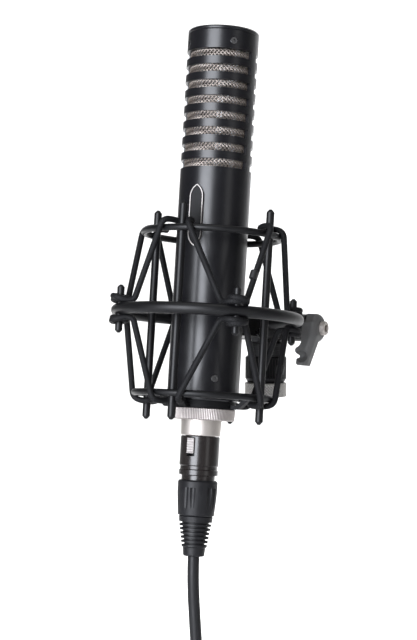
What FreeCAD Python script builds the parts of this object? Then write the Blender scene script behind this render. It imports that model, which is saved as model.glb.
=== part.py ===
"""Ribbon-type studio microphone in an elastic shock mount, with its swivel and its cable.

Units are millimetres.  The frame's origin is the mouth of the stand's threaded socket, on the
stand's axis, with +Z up.  The microphone's front faces -Y.

Everything that tilts is drawn in the cradle frame first: its +Z is the microphone's axis, its
origin is the centre of the outer ring, and tilted() carries it to the object's frame.
"""
import FreeCAD, Part
import math
import os

from FreeCAD import Rotation, Vector

# ---------------------------------------------------------------- driving dimensions
GAP = 0.1                    # between flat faces of pieces that turn on each other
RUN = 0.06                   # radial clearance of a shaft in its hole
FRONT = -90.0                # the direction that the microphone's front faces, in degrees

# swivel and tilt
LEAN = 6.1                   # how far the microphone leans back towards the stand, in degrees
PIVOT_Z = 39.6               # height of the tilt axis above the socket's mouth
REACH = 73.0                 # from the tilt axis to the microphone's axis
THREAD_R = 7.94              # 5/8 inch stand thread
SOCKET_DEPTH = 16.5
FLANGE_R = 11.9              # knurled foot of the thread adapter
FLANGE_H = 8.1
ADAPTER_R = 9.4
COLLAR_R = 11.7
COLLAR_TOP = 23.1
COLLAR_WEB = 3.0
STUD_R = 5.5                 # the swivel turns on this stud
CLIP_R = 7.4
CLIP_T = 1.2
CLIP_GROOVE = 0.6
POST_R = 10.4
POST_TOP = PIVOT_Z - 8.6
HUB_R = 7.7                  # rounded ends of the tongue and of the ears
LIP_GAP = 0.3                # between the post's lip and the ears
TONGUE_W = 10.4
WASHER_T = 1.0
LEFT_EAR_END = -14.3
RIGHT_EAR_END = 26.0
BOLT_R = 3.0
NUT_FLATS = 10.0
NUT_T = 4.0
LEVER_R = 8.1
LEVER_END = 34.6
LEVER_GROOVE_R = 5.2         # of the groove in the hub, over the grip
LEVER_RECESS_R = 3.5         # of the finger recess in the grip's toe
LEVER_SOCKET = 5.0           # closed end of the lever's bore
SCREW_HEAD_R = 3.95
SCREW_HEAD_H = 3.0

# shock mount
RING_R = 48.2                # centre line of the outer ring
RING_WIRE_R = 3.1
CRADLE_R = 36.2              # centre line of the two cradle rings
CRADLE_WIRE_R = 1.8
CRADLE_Z = 42.65             # height of the cradle rings above and below the outer ring
ROD_R = 2.1
ROD_CIRCLE = 33.7
ROD_HALF = 56.5
ROD_TIP = 1.6
POST_WIRE_R = 1.95
POST_HALF = 12.65
ELASTIC_R = 1.5
ELASTIC_GAP = 0.15           # between the elastic and the pieces that it bears on
BASE_PLATE_R = 17.9
BASE_PLATE_T = 3.7
ARM_T = 2.0                  # strap that each arm is cranked from
ARM_W = 4.4
ARM_TIP_W = 3.8
ARM_BOTTOM = -44.4
ELASTIC_TURN = 3.0           # half the length that an elastic runs along the outside of a post
ELASTIC_FOOT = 6.2           # from a post to the strand beside it, along the ring
ELASTIC_INSET = 5.5          # from a post to the strand beside it, towards the microphone

# microphone
BODY_R = 19.0
WALL = 1.8
BODY_TOP = 150.6
BODY_BOTTOM = -45.3
CAP_T = 2.0
CAP_EDGE = 0.8
SLOT_COUNT = 8
SLOT_FIRST_Z = 79.4
SLOT_PITCH = 8.4
SLOT_H = 4.3
SLOT_HALF_ANGLE = 82.0
SCREEN_T = 0.4
CAP_SCREW_Z = 144.5
BASE_SCREW_Z = -33.8
SCREW_R = 2.05
SCREW_DEPTH = 1.2
SHANK_R = 1.2
BADGE_Z = 51.2
BADGE_H = 32.5
BADGE_W = 7.6
BADGE_T = 1.5
BADGE_POINT = 6.6            # height of the pointed arch at each end
RIM_W = 0.42
NECK_R = 11.0
NECK_BORE_R = 8.1
NECK_END = -63.8
BOSS_R = 12.0
NUT_R = 17.8
NUT_TOP = BODY_BOTTOM - BASE_PLATE_T - 3 * GAP
NUT_H = 6.2

# ribbon motor and transformer
RIBBON_L = 58.0
RIBBON_W = 4.4
RIBBON_T = 0.12
RIBBON_FOLD = 0.5
MOTOR_Z = SLOT_FIRST_Z + SLOT_PITCH * (SLOT_COUNT - 1) / 2
MAGNET_W = 5.0
MAGNET_D = 6.4
POLE_W = 2.2
YOKE_T = 2.6
CLAMP_H = 5.0
PAD_T = 2.0
TRANSFORMER_Z = 16.0
CORE_SIZE = (24.0, 18.0, 26.0)
COIL_SIZE = (18.0, 22.0, 15.0)
WIRE_R = 0.7

# three-pin connectors
PIN_R = 1.2
PIN_CIRCLE = 3.9
PIN_ANGLES = (90.0, 210.0, 330.0)
PIN_RECESS = 2.4
PLUG_R = 10.35
PLUG_TOP = NECK_END - 0.2
PLUG_NOSE = 13.5
NOSE_R = 7.95
PLUG_BODY = 23.2
BOOT_R = 10.5
BOOT_L = 18.6
FLUTE_R = 1.9                # finger flutes of both grips, in five pairs
FLUTE_DEPTH = 0.8
FLUTE_SPREAD = 10.4          # degrees from the middle of a pair
RELIEF_L = 21.2
RELIEF_TOP_R = 9.0
RELIEF_END_R = 5.7
LATCH_W = 3.9
LATCH_H = 7.8
LATCH_TOP = PLUG_TOP - 1.3
LATCH_TRAVEL = 1.2

# cable: 3 m in all, the length that is not hanging is wound and tied
CABLE_R = 3.15
COIL_R = 36.0                # middle of the turns
COIL_SECTION_R = 12.4
CABLE_RUNS = (16.0, 28.0, 36.0, 36.0)
CABLE_SWAY = ((1.8, 0.4), (2.2, 1.2), (-0.6, 0.9))
TAIL_L = 56.0
FAR_BOOT_L = 30.0
FAR_GRIP = 6.0               # how far the tail goes into its boot
TIE_W = 12.0
TIE_T = 1.4

QUARTERS = (0, 1, 2, 3)
X_AXIS = Vector(1, 0, 0)
Y_AXIS = Vector(0, 1, 0)
Z_AXIS = Vector(0, 0, 1)
ORIGIN = Vector(0, 0, 0)


# ---------------------------------------------------------------- helpers
def turned(outline):
    """Solid of revolution about Z from a closed outline of (radius, height) points."""
    points = [Vector(radius, 0, height) for radius, height in outline]
    points.append(points[0])
    return Part.Face(Part.makePolygon(points)).revolve(ORIGIN, Z_AXIS, 360)


def rod(radius, low, high, x=0.0, y=0.0):
    """Cylinder that stands on (x, y) between two heights."""
    return Part.makeCylinder(radius, high - low, Vector(x, y, low), Z_AXIS)


def tube(outer, inner, low, high):
    return rod(outer, low, high).cut(rod(inner, low - 1, high + 1))


def cross_rod(radius, left, right, y=0.0, z=0.0):
    """Cylinder along X between two places."""
    return Part.makeCylinder(radius, right - left, Vector(left, y, z), X_AXIS)


def block(x, y, z):
    """Box between the (low, high) pairs x, y and z."""
    return Part.makeBox(x[1] - x[0], y[1] - y[0], z[1] - z[0], Vector(x[0], y[0], z[0]))


def prism(outline, direction):
    """Straight extrusion of a closed outline of points."""
    return Part.Face(Part.makePolygon(outline + [outline[0]])).extrude(direction)


def turn_about_z(shape, degrees):
    copy = shape.copy()
    copy.rotate(ORIGIN, Z_AXIS, degrees)
    return copy


def on_circle(radius, degrees, height=0.0):
    angle = math.radians(degrees)
    return Vector(radius * math.cos(angle), radius * math.sin(angle), height)


def along_radius(shape, degrees, height):
    """Carry a shape drawn along +X to a compass direction and a height."""
    copy = turn_about_z(shape, degrees)
    copy.translate(Vector(0, 0, height))
    return copy


def hexagon(across_flats, depth, base, direction):
    """Hexagonal prism, for key sockets and nuts."""
    corner = across_flats / 2 / math.cos(math.radians(30))
    corners = [on_circle(corner, 60 * side) for side in range(6)]
    shape = prism(corners, Vector(0, 0, depth))
    shape.Placement = FreeCAD.Placement(base, Rotation(Z_AXIS, direction))
    return shape


def tilted(shape):
    """Carry a shape from the cradle frame to the object's frame."""
    copy = shape.copy()
    copy.translate(Vector(0, -REACH, 0))
    copy.rotate(ORIGIN, X_AXIS, -LEAN)
    copy.translate(Vector(0, 0, PIVOT_Z))
    return copy


def tilted_point(point):
    vertex = tilted(Part.Vertex(point))
    return vertex.Point


def route_wire(points, radii):
    """Straight runs joined by tangent arcs, one radius for each inner point."""
    edges = []
    start = points[0]
    for before, corner, after, radius in zip(points, points[1:], points[2:], radii):
        inward = (corner - before).normalize()
        outward = (after - corner).normalize()
        half_turn = inward.getAngle(outward) / 2
        setback = radius * math.tan(half_turn)
        arc_start = corner - inward * setback
        arc_end = corner + outward * setback
        to_centre = (outward - inward).normalize()
        centre = corner + to_centre * (radius / math.cos(half_turn))
        middle = centre - to_centre * radius
        if (arc_start - start).Length > 1e-4:
            edges.append(Part.LineSegment(start, arc_start).toShape())
        edges.append(Part.Arc(arc_start, middle, arc_end).toShape())
        start = arc_end
    if (points[-1] - start).Length > 1e-4:
        edges.append(Part.LineSegment(start, points[-1]).toShape())
    return Part.Wire(edges)


def widest_radii(points):
    """Arc radius at each inner point: 0.45 of the shorter run over the tangent of half the turn."""
    radii = []
    for before, corner, after in zip(points, points[1:], points[2:]):
        shorter = min((corner - before).Length, (after - corner).Length)
        half_turn = (corner - before).getAngle(after - corner) / 2
        radii.append(0.45 * shorter / math.tan(half_turn))
    return radii


def swept(wire, radius):
    """Round tube along a wire."""
    first = wire.Edges[0]
    start = first.valueAt(first.FirstParameter)
    heading = first.tangentAt(first.FirstParameter)
    section = Part.Wire(Part.makeCircle(radius, start, heading))
    return wire.makePipeShell([section], True, False)


def capped_rod(radius, half_length, tip, x, y):
    """Rod with a blunt cone on each end."""
    nose = radius * 0.35
    outline = [(0, -half_length), (nose, -half_length), (radius, -half_length + tip)]
    outline += [(radius, half_length - tip), (nose, half_length), (0, half_length)]
    shape = turned(outline)
    shape.translate(Vector(x, y, 0))
    return shape


def socket_screw(head_r, head_h, shank_r, shank_l, key):
    """Cap screw along +X: its head's face is at x = 0 and the screw lies at x < 0."""
    head = cross_rod(head_r, -head_h, 0)
    head = head.makeChamfer(head_h * 0.12, [head.Edges[0]])
    shank = cross_rod(shank_r, -head_h - shank_l, -head_h + 0.01)
    key_hole = hexagon(key, head_h * 0.6, Vector(-head_h * 0.6, 0, 0), X_AXIS)
    return head.fuse(shank).cut(key_hole)


def radial_screws(height, face_r, angles):
    """Ring of screws whose heads face outward."""
    screw = socket_screw(SCREW_R - 0.1, SCREW_DEPTH, SHANK_R, 4.0, 1.5)
    screw.translate(Vector(face_r, 0, 0))
    return [along_radius(screw, angle, height) for angle in angles]


def drill_radially(shape, height, face_r, angles):
    """Counterbored holes for a ring of screws."""
    hole = cross_rod(SHANK_R + 0.05, face_r - 12, face_r + 1)
    recess = cross_rod(SCREW_R, face_r - SCREW_DEPTH - 0.12, face_r + 1)
    cutter = hole.fuse(recess)
    return shape.cut([along_radius(cutter, angle, height) for angle in angles])


# ---------------------------------------------------------------- swivel
def thread_adapter():
    """Knurled nickel foot with the stand's socket; its sleeve is pressed into the collar."""
    edge = 0.5
    outline = [(THREAD_R, 0), (FLANGE_R - edge, 0), (FLANGE_R, edge), (FLANGE_R, FLANGE_H - edge)]
    outline += [(FLANGE_R - edge, FLANGE_H), (ADAPTER_R, FLANGE_H), (ADAPTER_R, SOCKET_DEPTH)]
    outline += [(THREAD_R, SOCKET_DEPTH)]
    return turned(outline)


def ribbed_collar():
    """Grip collar on the adapter; its web carries the swivel."""
    chamfer = 1.4
    edge = 0.8
    web = COLLAR_TOP - COLLAR_WEB
    hole = STUD_R + RUN
    outline = [(ADAPTER_R, FLANGE_H + 0.02), (COLLAR_R - chamfer, FLANGE_H + 0.02)]
    outline += [(COLLAR_R, FLANGE_H + chamfer * 1.7), (COLLAR_R, COLLAR_TOP - edge)]
    outline += [(COLLAR_R - edge, COLLAR_TOP), (hole, COLLAR_TOP), (hole, web), (ADAPTER_R, web)]
    return turned(outline)


def clip_top():
    return COLLAR_TOP - COLLAR_WEB - GAP


def swivel_post():
    """Round post: a tongue on the tilt axis, a lip behind it and a stud in the collar."""
    foot_z = COLLAR_TOP + GAP
    clip_low = clip_top() - CLIP_T
    groove_r = STUD_R - CLIP_GROOVE
    outline = [(0, clip_low - 1.2), (groove_r, clip_low - 1.2), (STUD_R, clip_low - 0.6)]
    outline += [(STUD_R, clip_low), (groove_r, clip_low), (groove_r, clip_top())]
    outline += [(STUD_R, clip_top()), (STUD_R, foot_z), (POST_R, foot_z)]
    for groove in (POST_TOP - 4.6, POST_TOP - 2.0):
        outline += [(POST_R, groove), (POST_R - 0.5, groove), (POST_R - 0.5, groove + 0.5)]
        outline.append((POST_R, groove + 0.5))
    outline += [(POST_R, POST_TOP - 0.6), (POST_R - 0.6, POST_TOP), (0, POST_TOP)]
    foot = turned(outline)
    half = TONGUE_W / 2
    stem = block((-half, half), (-HUB_R, HUB_R), (POST_TOP - 1, PIVOT_Z))
    eye = cross_rod(HUB_R, -half, half, 0, PIVOT_Z)
    lip_top = PIVOT_Z - HUB_R - LIP_GAP
    lip = rod(POST_R - 0.6, POST_TOP - 1, lip_top)
    lip = lip.cut(block((-POST_R, POST_R), (-POST_R, 0.5), (POST_TOP - 2, lip_top + 1)))
    hole = cross_rod(BOLT_R + RUN, -half - 1, half + 1, 0, PIVOT_Z)
    return foot.fuse([stem, eye, lip]).cut(hole).removeSplitter()


def pan_clip():
    """Retaining ring in the stud's groove, under the collar's web."""
    low = clip_top() - CLIP_T
    ring = tube(CLIP_R, STUD_R - CLIP_GROOVE, low + 0.02, clip_top() - 0.02)
    return ring.cut(block((-1.5, 1.5), (0, CLIP_R + 1), (low - 1, clip_top() + 1)))


def ear_places():
    """The (left, right) faces of the two ears of the ring bracket."""
    inner = TONGUE_W / 2 + GAP + WASHER_T
    return ((LEFT_EAR_END, -inner), (inner, RIGHT_EAR_END))


def friction_washers():
    inner = TONGUE_W / 2 + GAP
    washers = []
    for left in (-inner - WASHER_T, inner):
        washer = cross_rod(HUB_R - 0.6, left, left + WASHER_T, REACH)
        washers.append(washer.cut(cross_rod(BOLT_R, left - 1, left + WASHER_T + 1, REACH)))
    return washers


def bracket_screw_places():
    return [Vector(x, RING_R - RING_WIRE_R - 1.0, -5.0) for x in (-9.5, 9.5)]


def nut_place():
    """Left face of the pivot nut, in its recess in the left ear."""
    return LEFT_EAR_END + 0.8


def ring_bracket():
    """Clevis: a saddle on the outer ring and two ears on the tilt axis."""
    half_h = 7.2
    half_w = -LEFT_EAR_END
    front = RING_R - RING_WIRE_R - 1.0
    back = REACH - 14.5
    saddle = block((-half_w, half_w), (front, back), (-half_h, half_h))
    upright = [edge for edge in saddle.Edges if abs(edge.tangentAt(0).z) > 0.9]
    shape = saddle.makeFillet(1.5, upright)
    for ear_left, ear_right in ear_places():
        arm = block((ear_left, min(ear_right, half_w)), (back - 1, REACH), (-half_h, half_h))
        eye = cross_rod(HUB_R, ear_left, ear_right, REACH)
        shape = shape.fuse([arm, eye])
    shape = shape.cut(cross_rod(BOLT_R, -half_w - 1, RIGHT_EAR_END + 1, REACH))
    nut_seat = hexagon(NUT_FLATS + 0.04, NUT_T + 2, Vector(LEFT_EAR_END - 1.2, REACH, 0), X_AXIS)
    shape = shape.cut([nut_seat, Part.makeTorus(RING_R, RING_WIRE_R + 0.02)])
    for place in bracket_screw_places():
        head_seat = Part.makeCylinder(2.0, 2.0, place - Y_AXIS, Y_AXIS)
        shank_hole = Part.makeCylinder(1.3, 12.0, place, Y_AXIS)
        shape = shape.cut([head_seat, shank_hole])
    return shape.removeSplitter()


def bracket_screws():
    """Two cap screws in the saddle, under the outer ring."""
    screws = []
    for place in bracket_screw_places():
        screw = socket_screw(1.9, 1.4, 1.25, 8.0, 1.6)
        screw.rotate(ORIGIN, Z_AXIS, FRONT)
        screw.translate(place - Y_AXIS * 0.4)
        screws.append(screw)
    return screws


def pivot_bolt():
    """Stud of the tilt axis: its nut is let into the left ear and the lever turns on its right."""
    shank = cross_rod(BOLT_R, nut_place(), LEVER_END - LEVER_SOCKET, REACH)
    return shank.makeChamfer(0.5, [shank.Edges[0], shank.Edges[2]])


def pivot_nut():
    left = nut_place()
    nut = hexagon(NUT_FLATS, NUT_T, Vector(left, REACH, 0), X_AXIS)
    return nut.cut(cross_rod(BOLT_R, left - 1, left + NUT_T + 1, REACH))


def lever_grip():
    """Hooked plate that stands proud of the hub, with a scooped finger recess at its toe."""
    left = RIGHT_EAR_END + GAP
    face = -8.9
    front = [(left, 2.6), (left, -8.8), (left - 1.0, -10.6), (left - 2.8, -11.8)]
    front += [(left - 3.4, -12.7), (left - 3.3, -13.9), (left - 2.6, -14.8), (left - 1.2, -16.1)]
    front += [(left - 1.3, -17.0), (left - 2.2, -17.8), (left - 2.4, -20.5), (left - 1.7, -21.4)]
    front += [(left + 3.0, -21.6), (LEVER_END, -4.6), (LEVER_END, 2.6)]
    plate = prism([Vector(x, face, z) for x, z in front], Vector(0, 7.4, 0))
    right = [edge for edge in plate.Edges if abs(edge.CenterOfMass.y - face) < 0.01
             and edge.CenterOfMass.x > left + 2 and edge.Length > 5 and edge.CenterOfMass.z < 0]
    plate = plate.makeFillet(3.4, right)
    return plate.cut(Part.makeSphere(LEVER_RECESS_R, Vector(left + 0.9, face - 0.5, -16.6)))


def clamp_lever():
    """Cast lever: a grooved hub on the bolt and the grip that hangs from it."""
    left = RIGHT_EAR_END + GAP
    hub = cross_rod(LEVER_R, left, LEVER_END)
    outer_rim = [edge for edge in hub.Edges if len(edge.Vertexes) == 1 and
                 abs(edge.CenterOfMass.x - LEVER_END) < 0.01]
    hub = hub.makeFillet(3.9, outer_rim)
    shape = hub.fuse(lever_grip())
    shape = shape.cut(cross_rod(LEVER_GROOVE_R, left - 1, LEVER_END - 3.0, -8.2, 7.6))
    shape = shape.cut(cross_rod(BOLT_R + RUN, left - 1, LEVER_END - LEVER_SOCKET + GAP))
    shape = shape.cut(cross_rod(SCREW_HEAD_R + 0.02, LEVER_END - 0.5, LEVER_END + 4))
    shape = shape.cut(cross_rod(1.6, LEVER_END - 4, LEVER_END + 1))
    shape.translate(Vector(0, REACH, 0))
    return shape.removeSplitter()


def lever_screw():
    """Nickel cap screw in the lever's end."""
    screw = socket_screw(SCREW_HEAD_R, SCREW_HEAD_H, 1.55, 2.2, 4.0)
    screw.translate(Vector(LEVER_END - 0.5 + SCREW_HEAD_H, REACH, 0))
    return screw


# ---------------------------------------------------------------- shock mount
def rod_angle(quarter):
    return FRONT + 90 * quarter


def post_angle(quarter):
    return FRONT + 45 + 90 * quarter


def outer_ring():
    ring = Part.makeTorus(RING_R, RING_WIRE_R)
    for quarter in QUARTERS:
        place = on_circle(RING_R, post_angle(quarter))
        ring = ring.cut(rod(POST_WIRE_R, -POST_HALF, POST_HALF, place.x, place.y))
    return ring


def ring_posts():
    posts = []
    for quarter in QUARTERS:
        place = on_circle(RING_R, post_angle(quarter))
        posts.append(capped_rod(POST_WIRE_R, POST_HALF, 1.3, place.x, place.y))
    return posts


def cradle_rod(quarter):
    place = on_circle(ROD_CIRCLE, rod_angle(quarter))
    return capped_rod(ROD_R, ROD_HALF, ROD_TIP, place.x, place.y)


def cradle_ring(height):
    """Wire ring, let in where the rods are brazed to it."""
    ring = Part.makeTorus(CRADLE_R, CRADLE_WIRE_R, Vector(0, 0, height))
    for quarter in QUARTERS:
        place = on_circle(ROD_CIRCLE, rod_angle(quarter))
        ring = ring.cut(rod(ROD_R, height - 5, height + 5, place.x, place.y))
    return ring


def cradle_base():
    """Plate under the microphone with four cranked arms out to the rods."""
    top = BODY_BOTTOM - GAP
    bottom = top - BASE_PLATE_T
    inner = BASE_PLATE_R - 1.0
    plate = rod(BASE_PLATE_R, bottom, top).cut(rod(BOSS_R + RUN, bottom - 1, top + 1))
    arm_top = ARM_BOTTOM + ARM_T
    side = [(inner, bottom + ARM_T), (BODY_R + 2.0, bottom + ARM_T), (BODY_R + 7.5, arm_top)]
    side += [(ROD_CIRCLE, arm_top), (ROD_CIRCLE, ARM_BOTTOM), (BODY_R + 8.6, ARM_BOTTOM)]
    side += [(BODY_R + 3.0, bottom), (inner, bottom)]
    arm = prism([Vector(radius, -ARM_W / 2, z) for radius, z in side], Vector(0, ARM_W, 0))
    plan = [(inner - 1, -ARM_W / 2), (ROD_CIRCLE, -ARM_TIP_W / 2), (ROD_CIRCLE, ARM_TIP_W / 2)]
    plan.append((inner - 1, ARM_W / 2))
    arm = arm.common(prism([Vector(x, y, bottom - 1) for x, y in plan], Vector(0, 0, 20)))
    shape = plate.fuse([turn_about_z(arm, rod_angle(quarter)) for quarter in QUARTERS])
    for quarter in QUARTERS:
        place = on_circle(ROD_CIRCLE, rod_angle(quarter))
        shape = shape.cut(rod(ROD_R, bottom - 1, arm_top + 1, place.x, place.y))
    return shape.removeSplitter()


def elastic_quarter(side):
    """Corner points and bend radii of one quarter of an elastic, from post to post.

    The elastic comes over the outer ring, goes round the outside of each post just clear of
    the ring, over the cradle ring, and round the inside of each rod.  It climbs one side of a
    rod more steeply than the other.  side is +1 for the upper elastic.
    """
    post_z = side * (RING_WIRE_R + ELASTIC_R + ELASTIC_GAP)
    rod_z = side * (CRADLE_Z + CRADLE_WIRE_R + ELASTIC_R + 2 * ELASTIC_GAP)
    rod_bend = ROD_R + ELASTIC_R + ELASTIC_GAP
    outside = -RING_R - POST_WIRE_R - ELASTIC_R - ELASTIC_GAP
    inside = -ROD_CIRCLE + rod_bend
    crest = -CRADLE_R - 2.4
    turn = [Vector(0, outside, post_z), Vector(ELASTIC_TURN, outside, post_z)]
    turn.append(Vector(ELASTIC_FOOT, -RING_R + ELASTIC_INSET, post_z))
    points = [turned_vector(place, -45) for place in turn]
    points += [Vector(-11.5, crest, rod_z + side * 0.8), Vector(-rod_bend, inside, rod_z)]
    points += [Vector(rod_bend, inside, rod_z), Vector(5.6, crest - 0.8, rod_z + side * 0.8)]
    points += [turned_vector(Vector(-place.x, place.y, place.z), 45) for place in reversed(turn)]
    return points, [3.0, 3.6, 5.0, 4.0, 3.6, 3.8, 3.6, 3.0]


def turned_vector(vector, degrees):
    return Rotation(Z_AXIS, degrees).multVec(vector)


def elastic(side):
    """One closed elastic loop, joined from the sweeps of its four like quarters."""
    points, radii = elastic_quarter(side)
    quarter_sweep = swept(route_wire(points, radii), ELASTIC_R)
    sweeps = [turn_about_z(quarter_sweep, 90 * quarter) for quarter in QUARTERS]
    return sweeps[0].fuse(sweeps[1:]).removeSplitter()


def elastic_strand(side, quarter, after_rod):
    """The long straight stretch of an elastic, as its start and end points."""
    points, _ = elastic_quarter(side)
    start, end = (points[6], points[7]) if after_rod else (points[3], points[2])
    return turned_vector(start, 90 * quarter), turned_vector(end, 90 * quarter)


def elastic_crimps():
    """Crimped sleeves that join the ends of each elastic."""
    crimps = []
    for side, quarter, after_rod, share in ((1, 1, False, 0.645), (-1, 1, True, 0.48)):
        start, end = elastic_strand(side, quarter, after_rod)
        heading = (end - start).normalize()
        middle = start + (end - start) * share
        sleeve = Part.makeCylinder(ELASTIC_R + 0.55, 4.6, middle - heading * 2.3, heading)
        bore = Part.makeCylinder(ELASTIC_R, 8.0, middle - heading * 4.0, heading)
        crimps.append(sleeve.makeChamfer(0.3, [sleeve.Edges[0], sleeve.Edges[2]]).cut(bore))
    return crimps


# ---------------------------------------------------------------- microphone
def quarter_angles():
    return [45 + 90 * quarter for quarter in QUARTERS]


def wall_ring(low, high):
    return tube(BODY_R, BODY_R - WALL, low, high)


def side_ribs(low, high):
    """The two upright ribs that part the front slot from the rear one."""
    inner = BODY_R - WALL
    section = [Vector(inner, 0, low), Vector(BODY_R, 0, low), Vector(BODY_R, 0, high)]
    section.append(Vector(inner, 0, high))
    face = Part.Face(Part.makePolygon(section + [section[0]]))
    half = 90 - SLOT_HALF_ANGLE
    sector = turn_about_z(face.revolve(ORIGIN, Z_AXIS, 2 * half), -half)
    return [sector, turn_about_z(sector, 180)]


def housing_tube():
    """Body tube: its slotted part is a stack of rings joined by side ribs."""
    edge = 0.6
    inner = BODY_R - WALL
    lip = 0.3
    first = SLOT_FIRST_Z - SLOT_H / 2
    outline = [(inner, BODY_BOTTOM), (BODY_R - edge, BODY_BOTTOM), (BODY_R, BODY_BOTTOM + edge)]
    outline += [(BODY_R, first), (inner, first)]
    lower = drill_radially(turned(outline), BASE_SCREW_Z, BODY_R, quarter_angles())
    last = first + SLOT_PITCH * (SLOT_COUNT - 1) + SLOT_H
    outline = [(inner, last), (BODY_R, last), (BODY_R, BODY_TOP - lip), (BODY_R - lip, BODY_TOP)]
    outline.append((inner, BODY_TOP))
    pieces = [drill_radially(turned(outline), CAP_SCREW_Z, BODY_R, quarter_angles())]
    for index in range(SLOT_COUNT):
        low = first + SLOT_PITCH * index
        pieces += side_ribs(low, low + SLOT_H)
        if index < SLOT_COUNT - 1:
            pieces.append(wall_ring(low + SLOT_H, low + SLOT_PITCH))
    return lower.fuse(pieces)


def top_cap():
    """Turned lid with a skirt for its screws."""
    inner = BODY_R - WALL - 0.05
    top = BODY_TOP + CAP_T
    skirt = CAP_SCREW_Z - 3.5
    outline = [(0, BODY_TOP - 1), (inner - 3.5, BODY_TOP - 1), (inner - 3.5, skirt), (inner, skirt)]
    outline += [(inner, BODY_TOP + 0.02), (BODY_R - 0.3, BODY_TOP + 0.02), (BODY_R, BODY_TOP + 0.32)]
    outline += [(BODY_R, top - CAP_EDGE), (BODY_R - CAP_EDGE, top), (0, top)]
    return drill_radially(turned(outline), CAP_SCREW_Z, BODY_R, quarter_angles())


def base_plug():
    """Turned plug that closes the tube and carries the neck."""
    inner = BODY_R - WALL - 0.05
    bottom = BODY_BOTTOM
    boss = BODY_BOTTOM - BASE_PLATE_T - 2 * GAP
    outline = [(9.0, boss), (BOSS_R, boss), (BOSS_R, bottom), (inner, bottom)]
    outline += [(inner, bottom + 16), (inner - 5.5, bottom + 16), (inner - 5.5, bottom + 6)]
    outline += [(9.0, bottom + 6)]
    return drill_radially(turned(outline), BASE_SCREW_Z, BODY_R, quarter_angles())


def screen_mesh():
    """Woven wind screen, as a closed tube behind the slots."""
    outer = BODY_R - WALL - 0.15
    last = SLOT_FIRST_Z + SLOT_PITCH * (SLOT_COUNT - 1)
    return tube(outer, outer - SCREEN_T, SLOT_FIRST_Z - 6, last + SLOT_H / 2 - 0.2)


def badge_plate(inset, depth):
    """Upright plate that faces -Y, with a pointed arch at each end, inset all round."""
    half = BADGE_W / 2
    arch_r = (half ** 2 + BADGE_POINT ** 2) / BADGE_W
    radius = arch_r - inset
    centre = arch_r - half
    tip_angle = math.acos(centre / radius)
    level = BADGE_H / 2 - BADGE_POINT

    def on_arch(across, up, angle):
        x = radius * math.cos(angle) - centre
        return Vector(across * x, 0, up * (level + radius * math.sin(angle)))

    edges = []
    for across in (-1, 1):
        side = Part.LineSegment(on_arch(across, -1, 0), on_arch(across, 1, 0))
        edges.append(side.toShape())
        for up in (-1, 1):
            corners = [on_arch(across, up, share * tip_angle) for share in (0, 0.5, 1)]
            edges.append(Part.Arc(*corners).toShape())
    plate = Part.Face(Part.Wire(Part.sortEdges(edges)[0])).extrude(Vector(0, -depth, 0))
    plate.translate(Vector(0, -BODY_R + 0.6, BADGE_Z))
    return plate


def badge_rim():
    """Plain nickel frame of the badge."""
    body = rod(BODY_R, BADGE_Z - BADGE_H, BADGE_Z + BADGE_H)
    return badge_plate(0, BADGE_T + 0.6).cut(badge_plate(RIM_W, BADGE_T + 2)).cut(body)


def badge_field():
    """Blank black field inside the badge's frame."""
    body = rod(BODY_R, BADGE_Z - BADGE_H, BADGE_Z + BADGE_H)
    return badge_plate(RIM_W + 0.02, BADGE_T + 0.25).cut(body)


def neck_shell():
    """Nickel sleeve of the three-pin outlet."""
    boss = BODY_BOTTOM - BASE_PLATE_T - 2 * GAP
    outline = [(NECK_BORE_R, NECK_END), (NECK_R - 0.9, NECK_END), (NECK_R - 0.6, NECK_END + 0.5)]
    outline += [(NECK_R, boss - 0.02), (8.96, boss - 0.02), (8.96, BODY_BOTTOM + 6)]
    outline += [(NECK_BORE_R, BODY_BOTTOM + 6)]
    return turned(outline)


def pin_places():
    return [on_circle(PIN_CIRCLE, angle) for angle in PIN_ANGLES]


def insert_z():
    """Face of the outlet's insulator, where the pins come out."""
    return PLUG_TOP + PLUG_NOSE + 0.5


def outlet_insert():
    face = insert_z()
    insert = rod(NECK_BORE_R - 0.02, face, face + 8)
    pins = [rod(PIN_R, face - 2, face + 10, place.x, place.y) for place in pin_places()]
    return insert.cut(pins)


def outlet_pins():
    face = insert_z()
    pins = []
    for place in pin_places():
        pin = rod(PIN_R, face - 11, face + 12, place.x, place.y)
        pins.append(pin.makeChamfer(0.5, [pin.Edges[0], pin.Edges[2]]))
    return pins


def ring_nut():
    """Knurled nut that clamps the cradle's plate against the microphone."""
    edge = 0.4
    bottom = NUT_TOP - NUT_H
    low_r = NUT_R - 0.5
    outline = [(NECK_R + RUN, bottom), (low_r - edge, bottom), (low_r, bottom + edge)]
    outline += [(NUT_R, NUT_TOP - edge), (NUT_R - edge, NUT_TOP), (NECK_R + RUN, NUT_TOP)]
    return turned(outline)


# ---------------------------------------------------------------- ribbon motor
def motor_block(x, y, half_height):
    return block(x, y, (MOTOR_Z - half_height, MOTOR_Z + half_height))


def pole_face():
    return RIBBON_W / 2 + 0.3


def pole_pieces():
    """Two soft-iron poles, tapered towards the ribbon."""
    poles = []
    for sign in (-1, 1):
        near = sign * pole_face()
        far = sign * (pole_face() + POLE_W)
        low = MOTOR_Z - RIBBON_L / 2
        outline = [Vector(near, -1.2, low), Vector(far, -MAGNET_D / 2, low)]
        outline += [Vector(far, MAGNET_D / 2, low), Vector(near, 1.2, low)]
        poles.append(prism(outline, Vector(0, 0, RIBBON_L)))
    return poles


def magnets():
    near = pole_face() + POLE_W
    far = near + MAGNET_W
    depth = (-MAGNET_D / 2, MAGNET_D / 2)
    half = RIBBON_L / 2
    return [motor_block((-far, -near), depth, half), motor_block((near, far), depth, half)]


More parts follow.
